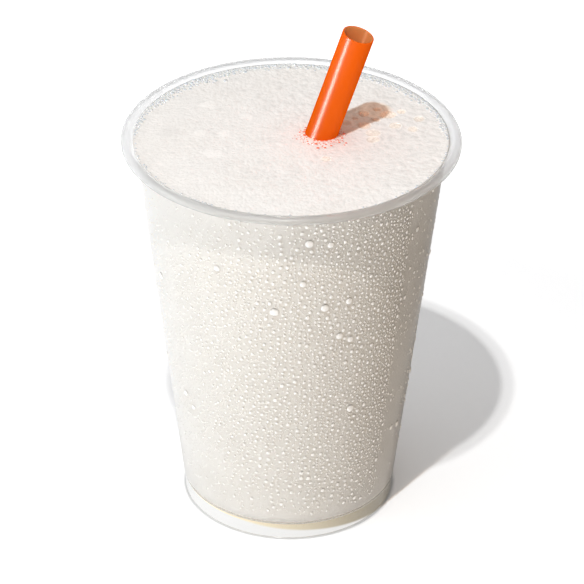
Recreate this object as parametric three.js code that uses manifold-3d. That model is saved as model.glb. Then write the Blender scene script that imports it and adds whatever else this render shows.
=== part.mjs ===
// A milkshake in a clear plastic cup, filled to just under its rolled rim, with froth on top
// and a wide straw standing in it. Beads of condensation sit on the outside of the cup.
// Millimetres, +Z up. The origin is the centre of the cup's foot, on the table.

import * as THREE from 'three';
import { mergeVertices } from 'three/addons/utils/BufferGeometryUtils.js';
import Module from 'manifold-3d';

// Cup: outside sizes of a 98 mm cold-drink cup, with a wall of one even thickness
const CUP_HEIGHT = 120;
const RIM_RADIUS = 49;
const RIM_CREST_RADIUS = 47;
const RIM_INNER_RADIUS = 45.45;
const RIM_INNER_HEIGHT = 118.75;
const LIP_HEIGHT = 118.1;
const LIP_WIDEST_HEIGHT = 118.6;
const WALL_THICKNESS = 0.5;
const WALL_TOP_HEIGHT = 116;
const WALL_TOP_RADIUS = 44.6;
const WALL_FOOT_HEIGHT = 6.2;
const WALL_FOOT_RADIUS = 31.95;
const FOOT_RADIUS = 31.4;
const FOOT_THICKNESS = 0.9;
const FOOT_EDGE = 0.2;
const FLOOR_HEIGHT = 5;
const FLOOR_THICKNESS = 0.6;

// Milkshake: its froth stands a little under the rim and climbs slightly at the wall
const GAP = 0.3;
const FROTH_LEVEL = 118.4;
const FROTH_SWELL = 0.12;
const FROTH_CLIMB = 0.35;
const FROTH_CLIMB_WIDTH = 1.6;
const BOTTOM_ROUNDING = 2.2;
const BUBBLE_COUNT = 100;
const BUBBLE_RADIUS_MIN = 1.5;
const BUBBLE_RADIUS_MAX = 2.4;
const BUBBLE_RISE = 0.26;

// Straw: it leans to the right and its lower end stands in the left corner of the cup
const STRAW_RADIUS = 4.6;
const STRAW_THICKNESS = 0.45;
const STRAW_LEAN = THREE.MathUtils.degToRad(17.3);
const STRAW_HEADING = THREE.MathUtils.degToRad(-10);
const STRAW_CROSSING = new THREE.Vector3(8.55, 2.4, FROTH_LEVEL);
const STRAW_ABOVE_FROTH = 34.8;
const STRAW_FOOT_CLEARANCE = 2.1;

// Condensation: the largest beads of water, flattened domes on the outside of the wall. Those on
// the front each have a place; the others are spread over the rest of the wall. Turns are in
// degrees from -Y, towards +X.
const FRONT_BEADS = [
  { turn: -29, height: 97, radius: 0.95 },
  { turn: -6, height: 85, radius: 1.3 },
  { turn: 5, height: 95, radius: 1 },
  { turn: 7, height: 109, radius: 1.25 },
  { turn: 14, height: 86, radius: 1.25 },
  { turn: 15, height: 108, radius: 1 },
  { turn: 21, height: 75, radius: 1.05 },
  { turn: 24, height: 87, radius: 1.05 },
  { turn: 26, height: 73, radius: 1 },
  { turn: 29, height: 47, radius: 1.15 },
];
const FRONT_TURN = 50;
const BEAD_COUNT = 55;
const BEAD_RADIUS_MIN = 0.75;
const BEAD_RADIUS_MAX = 1.3;
const BEAD_RISE = 0.5;
const BEAD_ROOT = 0.25;
const BEAD_LOWEST = 16;
const BEAD_HIGHEST = 104;

// Fineness of the faceted surfaces
const ROUND_SEGMENTS = 64;
const CURVE_STEPS = 3;
const FROTH_GRID = 56;
const STRAW_SEGMENTS = 32;
const BEAD_SEGMENTS = 6;
const WELD_DISTANCE = 1e-4;

// Numbers from 0 to 1 in a fixed order, so that the part is the same each time
function seededRandom(seed) {
  let state = seed;
  return () => {
    state = (state * 1664525 + 1013904223) % 4294967296;
    return state / 4294967296;
  };
}

const wasm = await Module();
wasm.setup();

// A three.js geometry as a solid that can be joined and cut
function toSolid(geometry) {
  const bare = geometry.clone();
  bare.deleteAttribute('normal');
  bare.deleteAttribute('uv');
  const welded = mergeVertices(bare, WELD_DISTANCE);
  const corners = welded.index.array;
  const kept = [];
  for (let i = 0; i < corners.length; i += 3) {
    const [a, b, c] = corners.subarray(i, i + 3);
    if (a !== b && b !== c && c !== a) {
      kept.push(a, b, c);
    }
  }
  const mesh = new wasm.Mesh({
    numProp: 3,
    vertProperties: new Float32Array(welded.attributes.position.array),
    triVerts: new Uint32Array(kept),
  });
  return new wasm.Manifold(mesh);
}

function toGeometry(solid) {
  const mesh = solid.getMesh();
  const geometry = new THREE.BufferGeometry();
  geometry.setAttribute('position', new THREE.BufferAttribute(mesh.vertProperties, 3));
  geometry.setIndex(new THREE.BufferAttribute(mesh.triVerts, 1));
  geometry.computeVertexNormals();
  return geometry;
}

// An outline of radius and height, turned about +Z
function turned(outline, segments) {
  const geometry = new THREE.LatheGeometry(outline, segments);
  geometry.rotateX(Math.PI / 2);
  return geometry;
}

// Outside radius of the cup's wall at a height
function wallRadius(z) {
  const rise = (z - WALL_FOOT_HEIGHT) / (WALL_TOP_HEIGHT - WALL_FOOT_HEIGHT);
  return WALL_FOOT_RADIUS + rise * (WALL_TOP_RADIUS - WALL_FOOT_RADIUS);
}

const WALL_SLOPE = (WALL_TOP_RADIUS - WALL_FOOT_RADIUS) / (WALL_TOP_HEIGHT - WALL_FOOT_HEIGHT);
const FLOOR_TOP = FLOOR_HEIGHT + FLOOR_THICKNESS;

// The inside of the wall where it flares out to the rim: its start, its bend and its end.
// The froth follows the same flare at a distance of inset.
function insideFlare(inset) {
  const skew = inset * Math.SQRT1_2;
  const start = [WALL_TOP_RADIUS - WALL_THICKNESS - inset, WALL_TOP_HEIGHT];
  const end = [RIM_INNER_RADIUS - skew, RIM_INNER_HEIGHT + skew];
  const bend = [start[0] + 0.25, end[1] - 1.15];
  return { start, bend, end };
}

// The cup: a hollow foot, a raised floor, a tapered wall and a flat rim with a turned-down lip
function cupOutline() {
  const outline = new THREE.Path();
  const footInside = FOOT_RADIUS - FOOT_THICKNESS;
  const flare = insideFlare(0);
  const skew = WALL_THICKNESS * Math.SQRT1_2;
  const rimUnderside = CUP_HEIGHT - WALL_THICKNESS;
  const lipInside = RIM_RADIUS - WALL_THICKNESS;

  outline.moveTo(0, FLOOR_HEIGHT);
  outline.lineTo(footInside, FLOOR_HEIGHT);
  outline.lineTo(footInside - FOOT_EDGE, FOOT_EDGE);
  outline.lineTo(footInside, 0);
  outline.lineTo(FOOT_RADIUS - 2 * FOOT_EDGE, 0);
  outline.quadraticCurveTo(FOOT_RADIUS, 0, FOOT_RADIUS, 4 * FOOT_EDGE);
  outline.lineTo(wallRadius(FLOOR_HEIGHT) - FOOT_EDGE, FLOOR_HEIGHT);
  outline.lineTo(WALL_FOOT_RADIUS, WALL_FOOT_HEIGHT);
  outline.lineTo(WALL_TOP_RADIUS, WALL_TOP_HEIGHT);
  outline.quadraticCurveTo(
    flare.bend[0] + WALL_THICKNESS, flare.bend[1] - skew,
    flare.end[0] + skew, flare.end[1] - skew,
  );
  outline.quadraticCurveTo(
    RIM_CREST_RADIUS - skew, rimUnderside,
    RIM_CREST_RADIUS + skew, rimUnderside - 0.1,
  );
  outline.quadraticCurveTo(lipInside - 0.1, rimUnderside - 0.1, lipInside, LIP_HEIGHT);
  outline.lineTo(RIM_RADIUS - 0.1, LIP_HEIGHT);
  outline.lineTo(RIM_RADIUS, LIP_WIDEST_HEIGHT);
  outline.quadraticCurveTo(
    RIM_RADIUS - 0.3, CUP_HEIGHT - 0.3,
    RIM_CREST_RADIUS, CUP_HEIGHT,
  );
  outline.quadraticCurveTo(
    RIM_CREST_RADIUS - 0.6, CUP_HEIGHT - 0.1,
    flare.end[0], flare.end[1],
  );
  outline.quadraticCurveTo(flare.bend[0], flare.bend[1], flare.start[0], flare.start[1]);
  outline.lineTo(wallRadius(FLOOR_TOP) - WALL_THICKNESS, FLOOR_TOP);
  outline.lineTo(0, FLOOR_TOP);
  return outline.getPoints(CURVE_STEPS);
}

// One bead of water: a low dome whose root is sunk in the wall
function bead(radius) {
  const outline = [
    new THREE.Vector2(0, -BEAD_ROOT),
    new THREE.Vector2(1.15 * radius, -BEAD_ROOT),
    new THREE.Vector2(0.7 * radius, 0.76 * BEAD_RISE * radius),
    new THREE.Vector2(0, BEAD_RISE * radius),
  ];
  return turned(outline, BEAD_SEGMENTS);
}

// Where a bead lies on the wall
function beadSpot(turn, height, radius) {
  const angle = THREE.MathUtils.degToRad(turn - 90);
  const out = wallRadius(height);
  const place = new THREE.Vector3(out * Math.cos(angle), out * Math.sin(angle), height);
  return { place, angle, radius };
}

// Beads all round the wall; the spread ones are kept apart from each other
function beadSpots() {
  const spots = FRONT_BEADS.map((bead) => beadSpot(bead.turn, bead.height, bead.radius));
  const random = seededRandom(11);
  while (spots.length < BEAD_COUNT) {
    const height = THREE.MathUtils.lerp(BEAD_LOWEST, BEAD_HIGHEST, random());
    const turn = THREE.MathUtils.lerp(FRONT_TURN, 360 - FRONT_TURN, random());
    const size = random() ** 2;
    const radius = THREE.MathUtils.lerp(BEAD_RADIUS_MIN, BEAD_RADIUS_MAX, size);
    const added = beadSpot(turn, height, radius);
    if (spots.every((spot) => spot.place.distanceTo(added.place) > 3 * BEAD_RADIUS_MAX)) {
      spots.push(added);
    }
  }
  return spots;
}

function makeCup() {
  let cup = toSolid(turned(cupOutline(), ROUND_SEGMENTS));
  const up = new THREE.Vector3(0, 0, 1);
  for (const spot of beadSpots()) {
    const outward = new THREE.Vector3(Math.cos(spot.angle), Math.sin(spot.angle), -WALL_SLOPE);
    const turn = new THREE.Quaternion().setFromUnitVectors(up, outward.normalize());
    const geometry = bead(spot.radius);
    geometry.applyQuaternion(turn);
    geometry.translate(spot.place.x, spot.place.y, spot.place.z);
    cup = cup.add(toSolid(geometry));
  }
  return toGeometry(cup);
}

// The direction of the straw, from its lower end to its mouth
function strawAxis() {
  return new THREE.Vector3(
    Math.sin(STRAW_LEAN) * Math.cos(STRAW_HEADING),
    Math.sin(STRAW_LEAN) * Math.sin(STRAW_HEADING),
    Math.cos(STRAW_LEAN),
  );
}

// The straw's lower end, worked out from where it crosses the froth
function strawFoot() {
  const height = FLOOR_TOP + STRAW_FOOT_CLEARANCE + STRAW_RADIUS * Math.sin(STRAW_LEAN);
  const sunk = (STRAW_CROSSING.z - height) / Math.cos(STRAW_LEAN);
  return STRAW_CROSSING.clone().addScaledVector(strawAxis(), -sunk);
}

function strawLength() {
  return STRAW_CROSSING.distanceTo(strawFoot()) + STRAW_ABOVE_FROTH;
}

// A straight tube along +Z, from one height to another
function tube(inside, outside, from, to) {
  const outline = [
    new THREE.Vector2(inside, from),
    new THREE.Vector2(outside, from),
    new THREE.Vector2(outside, to),
    new THREE.Vector2(inside, to),
    new THREE.Vector2(inside, from),
  ];
  return turned(outline, STRAW_SEGMENTS);
}

function makeStraw() {
  return toGeometry(toSolid(tube(STRAW_RADIUS - STRAW_THICKNESS, STRAW_RADIUS, 0, strawLength())));
}

// Bubbles that stand out of the froth: a few broad ones, then smaller ones spread between them
function frothBubbles() {
  const bubbles = [
    { x: -24, y: 20, radius: 2.4 },
    { x: -13, y: 13, radius: 2.1 },
    { x: -26, y: 3, radius: 1.9 },
    { x: -19, y: 3, radius: 2 },
    { x: -22, y: -9, radius: 2.7 },
    { x: 21, y: 8, radius: 2.2 },
    { x: 28, y: 14.5, radius: 2.6 },
    { x: 21, y: 15, radius: 1.8 },
    { x: 16, y: 9.5, radius: 1.6 },
  ];
  const random = seededRandom(5);
  while (bubbles.length < BUBBLE_COUNT) {
    const reach = (RIM_INNER_RADIUS - 2 * BUBBLE_RADIUS_MAX) * Math.sqrt(random());
    const angle = 2 * Math.PI * random();
    const radius = THREE.MathUtils.lerp(BUBBLE_RADIUS_MIN, BUBBLE_RADIUS_MAX, random() ** 2);
    const x = reach * Math.cos(angle);
    const y = reach * Math.sin(angle);
    const offStraw = Math.hypot(x - STRAW_CROSSING.x, y - STRAW_CROSSING.y) > STRAW_RADIUS + 2 * radius;
    const apart = bubbles.every((b) => Math.hypot(x - b.x, y - b.y) > 0.9 * (radius + b.radius));
    if (offStraw && apart) {
      bubbles.push({ x, y, radius });
    }
  }
  return bubbles;
}

// Height of the froth above its level at a place
function frothRelief(x, y, bubbles) {
  const fromWall = Math.max(0, RIM_INNER_RADIUS - Math.hypot(x, y));
  const climb = FROTH_CLIMB * Math.exp(-fromWall / FROTH_CLIMB_WIDTH);
  const swell = FROTH_SWELL * Math.sin(x / 7 + 1) * Math.cos(y / 8);
  let dome = 0;
  for (const bubble of bubbles) {
    const off = Math.hypot(x - bubble.x, y - bubble.y) / bubble.radius;
    dome = Math.max(dome, BUBBLE_RISE * bubble.radius * (1 - off * off));
  }
  return climb + swell + dome;
}

// A block whose top is the froth, wide enough to fill the cup
function frothBlock() {
  const width = 2 * RIM_RADIUS;
  const block = new THREE.BoxGeometry(width, width, CUP_HEIGHT, FROTH_GRID, FROTH_GRID, 1);
  block.translate(0, 0, FROTH_LEVEL - CUP_HEIGHT / 2);
  const bubbles = frothBubbles();
  const points = block.attributes.position;
  for (let i = 0; i < points.count; i += 1) {
    const onTop = points.getZ(i) > FROTH_LEVEL - GAP;
    if (onTop) {
      points.setZ(i, FROTH_LEVEL + frothRelief(points.getX(i), points.getY(i), bubbles));
    }
  }
  return block;
}

// The space inside the cup, less the gap, closed above the rim
function fillOutline() {
  const outline = new THREE.Path();
  const inset = WALL_THICKNESS + GAP;
  const bottom = FLOOR_TOP + GAP;
  const flare = insideFlare(GAP);
  const closed = CUP_HEIGHT + GAP;
  outline.moveTo(0, bottom);
  outline.lineTo(wallRadius(bottom) - inset - BOTTOM_ROUNDING, bottom);
  outline.quadraticCurveTo(
    wallRadius(bottom) - inset, bottom,
    wallRadius(bottom + BOTTOM_ROUNDING) - inset, bottom + BOTTOM_ROUNDING,
  );
  outline.lineTo(flare.start[0], flare.start[1]);
  outline.quadraticCurveTo(flare.bend[0], flare.bend[1], flare.end[0], flare.end[1]);
  outline.lineTo(flare.end[0], closed);
  outline.lineTo(0, closed);
  return outline.getPoints(CURVE_STEPS);
}

// The milkshake fills the cup, round the straw and inside it, up to the froth
function makeMilkshake(straw) {
  const cut = tube(
    STRAW_RADIUS - STRAW_THICKNESS - GAP,
    STRAW_RADIUS + GAP,
    -GAP,
    strawLength(),
  );
  cut.applyQuaternion(straw.quaternion);
  cut.translate(straw.position.x, straw.position.y, straw.position.z);
  const fill = toSolid(turned(fillOutline(), ROUND_SEGMENTS));
  return toGeometry(fill.intersect(toSolid(frothBlock())).subtract(toSolid(cut)));
}

// Finishes, with the colours of the real thing
const clearPlastic = new THREE.MeshStandardMaterial({
  color: new THREE.Color(0.9, 0.91, 0.92),
  roughness: 0.08,
  metalness: 0,
  transparent: true,
  opacity: 0.35,
});
const milk = new THREE.MeshStandardMaterial({
  color: new THREE.Color(0.9, 0.87, 0.81),
  roughness: 0.45,
  metalness: 0,
});
const orangePlastic = new THREE.MeshStandardMaterial({
  color: new THREE.Color(0.93, 0.13, 0.01),
  roughness: 0.28,
  metalness: 0,
});

const straw = new THREE.Mesh(makeStraw(), orangePlastic);
straw.name = 'straw';
straw.position.copy(strawFoot());
straw.quaternion.setFromUnitVectors(new THREE.Vector3(0, 0, 1), strawAxis());

const cup = new THREE.Mesh(makeCup(), clearPlastic);
cup.name = 'cup';

const milkshake = new THREE.Mesh(makeMilkshake(straw), milk);
milkshake.name = 'milkshake';

const drink = new THREE.Group();
drink.add(cup, milkshake, straw);

export default drink;
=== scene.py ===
# A milkshake in a clear plastic cup, with froth, a wide orange straw and condensation.
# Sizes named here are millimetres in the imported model's frame; MM turns them into metres.

import math
import random

import bpy
import numpy as np
from mathutils import Matrix, Vector


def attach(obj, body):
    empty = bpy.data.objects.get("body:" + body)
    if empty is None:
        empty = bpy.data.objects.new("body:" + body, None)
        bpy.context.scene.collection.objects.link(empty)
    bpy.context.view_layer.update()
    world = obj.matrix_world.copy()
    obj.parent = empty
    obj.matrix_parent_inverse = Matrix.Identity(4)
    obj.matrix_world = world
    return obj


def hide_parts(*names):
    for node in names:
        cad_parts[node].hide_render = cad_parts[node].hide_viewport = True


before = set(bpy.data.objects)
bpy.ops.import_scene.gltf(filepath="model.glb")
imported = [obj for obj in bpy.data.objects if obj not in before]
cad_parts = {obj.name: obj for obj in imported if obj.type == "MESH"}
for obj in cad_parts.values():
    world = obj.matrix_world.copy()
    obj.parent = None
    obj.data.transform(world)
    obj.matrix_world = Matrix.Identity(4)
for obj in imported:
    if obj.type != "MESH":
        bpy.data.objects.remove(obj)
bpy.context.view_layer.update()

MM = 0.001

# Cup
CUP_HEIGHT = 120.0
RIM_RADIUS = 49.0
RIM_CREST_RADIUS = 47.0
RIM_INNER_RADIUS = 45.45
RIM_INNER_HEIGHT = 118.75
LIP_HEIGHT = 118.1
LIP_WIDEST_HEIGHT = 118.6
WALL_THICKNESS = 0.5
WALL_TOP_HEIGHT = 116.0
WALL_TOP_RADIUS = 44.6
WALL_FOOT_HEIGHT = 6.2
WALL_FOOT_RADIUS = 31.95
WALL_SLOPE = (WALL_TOP_RADIUS - WALL_FOOT_RADIUS) / (WALL_TOP_HEIGHT - WALL_FOOT_HEIGHT)
FOOT_RADIUS = 31.4
FOOT_THICKNESS = 0.9
FOOT_EDGE = 0.2
FLOOR_HEIGHT = 5.0
FLOOR_TOP = 5.6
CORNER_ROUNDING = 2.4
CUP_SEGMENTS = 256
CURVE_STEPS = 8

# Milkshake: it reaches a little into the wall, so that no air shows between them
INTO_WALL = 0.12
FROTH_LEVEL = 118.4
FROTH_CLIMB = 0.35
FROTH_CLIMB_WIDTH = 1.6
FROTH_CELLS = 264
SIDE_RINGS = 14
RASTER_STEP = 0.125
RASTER_REACH = 46.5

# Straw
STRAW_RADIUS = 4.6
STRAW_THICKNESS = 0.45
STRAW_LEAN = math.radians(17.3)
STRAW_HEADING = math.radians(-10.0)
STRAW_CROSSING = Vector((8.55, 2.4, FROTH_LEVEL))
STRAW_ABOVE_FROTH = 34.8
STRAW_FOOT_CLEARANCE = 2.1
STRAW_SEGMENTS = 96

# Condensation on the wall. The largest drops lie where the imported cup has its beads: those on
# the front each have a turn in degrees from -Y towards +X, a height and a radius.
FRONT_DROPS = [
    (-29, 97, 0.95), (-6, 85, 1.3), (5, 95, 1.0), (7, 109, 1.25), (14, 86, 1.25),
    (15, 108, 1.0), (21, 75, 1.05), (24, 87, 1.05), (26, 73, 1.0), (29, 47, 1.15),
]
FRONT_TURN = 50
DROP_COUNT = 55
DROP_RADIUS = (0.75, 1.3)
DROP_LOWEST = 16.0
DROP_HIGHEST = 104.0
DEW_LOWEST = 9.0
DEW_HIGHEST = 115.5
MIST_COUNT = 5400
MIST_RADIUS = (0.13, 0.27)
FINE_COUNT = 4500
FINE_RADIUS = (0.27, 0.42)
BEAD_COUNT = 2500
BEAD_RADIUS = (0.42, 0.68)
DEW_RISE = 0.38
DEW_ROOT = 0.15
DEW_GATHER = 0.65
STREAK_COUNT = 22
STREAK_SHARE = 0.10
STREAK_WANDER = 0.008

# The photograph's view
VIEW_ELEVATION = math.radians(31.49)
VIEW_ROLL = math.radians(0.464)
VIEW_DISTANCE = 1000.0
VIEW_TARGET = Vector((0.56, 0.0, 66.731))
VIEW_LENS = 208.95

# Light: one small lamp in front, above and a little to the left, and a soft room that is
# brighter on the left than on the right. Two more lamps reach only the straw.
KEY_PLACE = Vector((-84.0, -327.0, 812.0))
KEY_RADIUS = 8.0
KEY_POWER = 15.0
ROOM_LEFT = (0.80, 0.83, 0.86, 1.0)
ROOM_RIGHT = (0.10, 0.07, 0.05, 1.0)
ROOM_MIRRORED = (0.18, 0.18, 0.18, 1.0)
ROOM_SEEN = (0.95, 0.95, 0.95, 1.0)
# The table: what it gives to the object from the left and from the right, and how far its
# shadows are lifted
TABLE_SIZE = 4000.0
TABLE_LEFT = (1.99, 2.08, 2.20, 1.0)
TABLE_RIGHT = (0.80, 0.66, 0.51, 1.0)
TABLE_TURN = 110.0
CONTACT_WIDTH = 1.1
CONTACT_SHADE = (0.45, 0.45, 0.45, 1.0)
SHADOW_LIFT = (0.11, 0.055)
LEFT_LIFT = 0.30
FAR_LIFT = 0.35
FAR_START = 150.0
FAR_END = 280.0
# What shows on the table through the clear foot: light in front, and the drink's warm shadow
FOOT_SHADE_PLACE = Vector((4.5, 4.1, 0.0))
FOOT_SHADE_RADIUS = 29.7
FOOT_LIGHT = ((0.98, 0.98, 0.97, 1.0), (0.80, 0.79, 0.77, 1.0))
FOOT_SHADE = ((1.41, 1.22, 0.88, 1.0), (0.157, 0.134, 0.103, 1.0))
# The straw's own lamps: its pale stripe from the left, and a soft light from the right
SHEEN_PLACE = Vector((-382.0, -182.0, -10.0))
SHEEN_TARGET = Vector((13.0, 2.0, 135.0))
SHEEN_SIZE = (150.0, 400.0)
SHEEN_POWER = 15.0
FILL_PLACE = Vector((400.0, -240.0, 150.0))
FILL_SIZE = 200.0
FILL_POWER = 0.7


def new_piece(name, points, faces, material, smooth=True, sharp=None):
    """A mesh object from points in millimetres."""
    mesh = bpy.data.meshes.new(name)
    mesh.from_pydata((np.asarray(points) * MM).tolist(), [], faces)
    mesh.materials.append(material)
    if smooth:
        mesh.shade_smooth()
    if sharp is not None:
        mesh.set_sharp_from_angle(angle=math.radians(sharp))
    mesh.update()
    piece = bpy.data.objects.new(name, mesh)
    bpy.context.scene.collection.objects.link(piece)
    return piece


def curve(start, bend, end, steps=CURVE_STEPS):
    """The points of a quadratic curve, without its start."""
    points = []
    for i in range(1, steps + 1):
        t = i / steps
        points.append(tuple(
            (1 - t) ** 2 * a + 2 * t * (1 - t) * b + t ** 2 * c
            for a, b, c in zip(start, bend, end)
        ))
    return points


def lathe(outline, segments):
    """An outline of radius and height turned about Z; one that touches the axis closes there."""
    points = []
    rings = []
    for radius, height in outline:
        if radius < 1e-6:
            rings.append([len(points)] * segments)
            points.append((0.0, 0.0, height))
            continue
        rings.append(list(range(len(points), len(points) + segments)))
        for i in range(segments):
            angle = 2 * math.pi * i / segments
            points.append((radius * math.cos(angle), radius * math.sin(angle), height))
    faces = []
    for low, high in zip(rings, rings[1:]):
        for i in range(segments):
            j = (i + 1) % segments
            corners = [low[i], low[j], high[j], high[i]]
            face = [c for n, c in enumerate(corners) if c not in corners[:n]]
            if len(face) > 2:
                faces.append(face)
    return points, faces


def wall_radius(height):
    """Outside radius of the cup's wall."""
    return WALL_FOOT_RADIUS + (height - WALL_FOOT_HEIGHT) * WALL_SLOPE


# Node helpers


def put(tree, kind, inputs=None, **settings):
    node = tree.nodes.new(kind)
    for key, value in settings.items():
        setattr(node, key, value)
    for key, value in (inputs or {}).items():
        if isinstance(value, bpy.types.NodeSocket):
            tree.links.new(value, node.inputs[key])
        else:
            node.inputs[key].default_value = value
    return node


def new_material(name):
    material = bpy.data.materials.new(name)
    material.use_nodes = True
    material.node_tree.nodes.clear()
    return material, material.node_tree


def new_group(name, inputs, outputs):
    group = bpy.data.node_groups.new(name, "ShaderNodeTree")
    for label, kind, default in inputs:
        socket = group.interface.new_socket(label, in_out="INPUT", socket_type=kind)
        socket.default_value = default
    for label, kind in outputs:
        group.interface.new_socket(label, in_out="OUTPUT", socket_type=kind)
    start = group.nodes.new("NodeGroupInput")
    end = group.nodes.new("NodeGroupOutput")
    return group, start, end


def surface(tree, socket):
    put(tree, "ShaderNodeOutputMaterial", {"Surface": socket})


def blend(tree, share, first, second):
    """A colour between two colours."""
    return put(tree, "ShaderNodeMix", {0: share, 6: first, 7: second}, data_type="RGBA").outputs[2]


def ramp(tree, value, low, high, first=0.0, second=1.0):
    """A number that goes from first to second while a value goes from low to high."""
    return put(tree, "ShaderNodeMapRange", {0: value, 1: low, 2: high, 3: first, 4: second}).outputs[0]


def clear_to_light(tree, shader, tint):
    """The shader as seen, but only a tint to the light that passes to what is behind."""
    path = put(tree, "ShaderNodeLightPath")
    clear = put(tree, "ShaderNodeBsdfTransparent", {"Color": tint})
    return put(tree, "ShaderNodeMixShader", {
        0: path.outputs["Is Shadow Ray"], 1: shader, 2: clear.outputs[0],
    }).outputs[0]


def make_grain_group():
    """Fine uneven grain: a height for a bump, and a mask between 0 and 1."""
    group, start, end = new_group(
        "Fine grain",
        [("Vector", "NodeSocketVector", (0, 0, 0)), ("Scale", "NodeSocketFloat", 900.0),
         ("Unevenness", "NodeSocketFloat", 60.0)],
        [("Height", "NodeSocketFloat"), ("Mask", "NodeSocketFloat")],
    )
    fine = put(group, "ShaderNodeTexNoise", {
        "Vector": start.outputs["Vector"], "Scale": start.outputs["Scale"], "Detail": 3.0,
    })
    broad = put(group, "ShaderNodeTexNoise", {
        "Vector": start.outputs["Vector"], "Scale": start.outputs["Unevenness"], "Detail": 2.0,
    })
    group.links.new(fine.outputs[0], end.inputs["Height"])
    group.links.new(ramp(group, broad.outputs[0], 0.3, 0.7), end.inputs["Mask"])
    return group


def make_foam_group():
    """Packed tiny bubbles: a height that falls off towards each bubble's edge."""
    group, start, end = new_group(
        "Foam cells",
        [("Vector", "NodeSocketVector", (0, 0, 0)), ("Scale", "NodeSocketFloat", 1400.0)],
        [("Height", "NodeSocketFloat")],
    )
    cells = put(group, "ShaderNodeTexVoronoi", {
        "Vector": start.outputs["Vector"], "Scale": start.outputs["Scale"],
    })
    square = put(group, "ShaderNodeMath", {0: cells.outputs["Distance"], 1: 2.0}, operation="POWER")
    height = put(group, "ShaderNodeMath", {0: 1.0, 1: square.outputs[0]}, operation="SUBTRACT")
    group.links.new(height.outputs[0], end.inputs["Height"])
    return group


GRAIN = make_grain_group()
FOAM = make_foam_group()


def grain(tree, scale, unevenness):
    place = put(tree, "ShaderNodeTexCoord").outputs["Object"]
    inputs = {"Vector": place, "Scale": scale, "Unevenness": unevenness}
    return put(tree, "ShaderNodeGroup", inputs, node_tree=GRAIN)


def foam(tree, scale):
    place = put(tree, "ShaderNodeTexCoord").outputs["Object"]
    return put(tree, "ShaderNodeGroup", {"Vector": place, "Scale": scale}, node_tree=FOAM)


def make_clear_plastic():
    """Clear and smooth at the rim, and misted over the drink."""
    material, tree = new_material("clear_plastic")
    ripple = grain(tree, 160.0, 45.0)
    bump = put(tree, "ShaderNodeBump", {
        "Height": ripple.outputs["Height"], "Strength": 0.05, "Distance": 0.0002,
    })
    place = put(tree, "ShaderNodeTexCoord")
    where = put(tree, "ShaderNodeSeparateXYZ", {0: place.outputs["Object"]})
    rim = ramp(
        tree, where.outputs["Z"], (RIM_INNER_HEIGHT - 2.2) * MM, (RIM_INNER_HEIGHT - 0.6) * MM,
    )
    gloss = put(tree, "ShaderNodeMix", {
        0: rim,
        2: ramp(tree, ripple.outputs["Mask"], 0.0, 1.0, 0.02, 0.06),
        3: ramp(tree, ripple.outputs["Mask"], 0.0, 1.0, 0.34, 0.40),
    })
    # Painted shade in the rim's colour: darker on the left than on the right, and darker towards the back.
    across = ramp(tree, where.outputs["X"], -RIM_RADIUS * MM, RIM_RADIUS * MM)
    back = ramp(tree, where.outputs["Y"], 0.0, RIM_RADIUS * MM, 0.0, 0.5)
    rim_painted_shade = blend(tree, across, (0.68, 0.685, 0.685, 1.0), (1.0, 1.0, 1.0, 1.0))
    rim_painted_shade = blend(tree, back, rim_painted_shade, (0.66, 0.67, 0.67, 1.0))
    shader = put(tree, "ShaderNodeBsdfPrincipled", {
        "Base Color": blend(tree, rim, (0.99, 0.99, 0.99, 1.0), rim_painted_shade),
        "Roughness": gloss.outputs[0],
        "IOR": 1.42,
        "Transmission Weight": 1.0,
        "Alpha": ramp(tree, rim, 0.0, 1.0, 1.0, 0.55),
        "Normal": bump.outputs[0],
    })
    tint = blend(tree, rim, (0.98, 0.98, 0.98, 1.0), (0.76, 0.76, 0.76, 1.0))
    surface(tree, clear_to_light(tree, shader.outputs[0], tint))
    return material


def make_shake():
    """The creamy drink, and its froth with fine cells, tinted where the mesh says so."""
    material, tree = new_material("milkshake")
    # froth_tint holds painted light and shade as well as the froth's own tones: the straw's glow, its shadow
    # and a dark line along the front of the wall.
    tint = put(tree, "ShaderNodeAttribute", attribute_name="froth_tint")
    froth = put(tree, "ShaderNodeAttribute", attribute_name="froth")
    fine = grain(tree, 1500.0, 90.0)
    cells = foam(tree, 1500.0)

    drink = blend(tree, fine.outputs["Mask"], (0.960, 0.928, 0.872, 1.0), (0.945, 0.912, 0.852, 1.0))
    top = blend(tree, fine.outputs["Mask"], (0.925, 0.893, 0.852, 1.0), (0.905, 0.868, 0.822, 1.0))
    colour = put(tree, "ShaderNodeMix", {
        0: 1.0, 6: blend(tree, froth.outputs["Fac"], drink, top), 7: tint.outputs["Color"],
    }, data_type="RGBA", blend_type="MULTIPLY")

    height = put(tree, "ShaderNodeMix", {
        0: froth.outputs["Fac"], 2: fine.outputs["Height"], 3: cells.outputs["Height"],
    })
    bump = put(tree, "ShaderNodeBump", {
        "Height": height.outputs[0], "Strength": 0.6, "Distance": 0.00015,
    })
    shader = put(tree, "ShaderNodeBsdfPrincipled", {
        "Base Color": colour.outputs[2],
        "Roughness": ramp(tree, fine.outputs["Mask"], 0.0, 1.0, 0.42, 0.55),
        "Specular IOR Level": 0.3,
        "Normal": bump.outputs[0],
    })
    surface(tree, shader.outputs[0])
    return material


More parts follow.
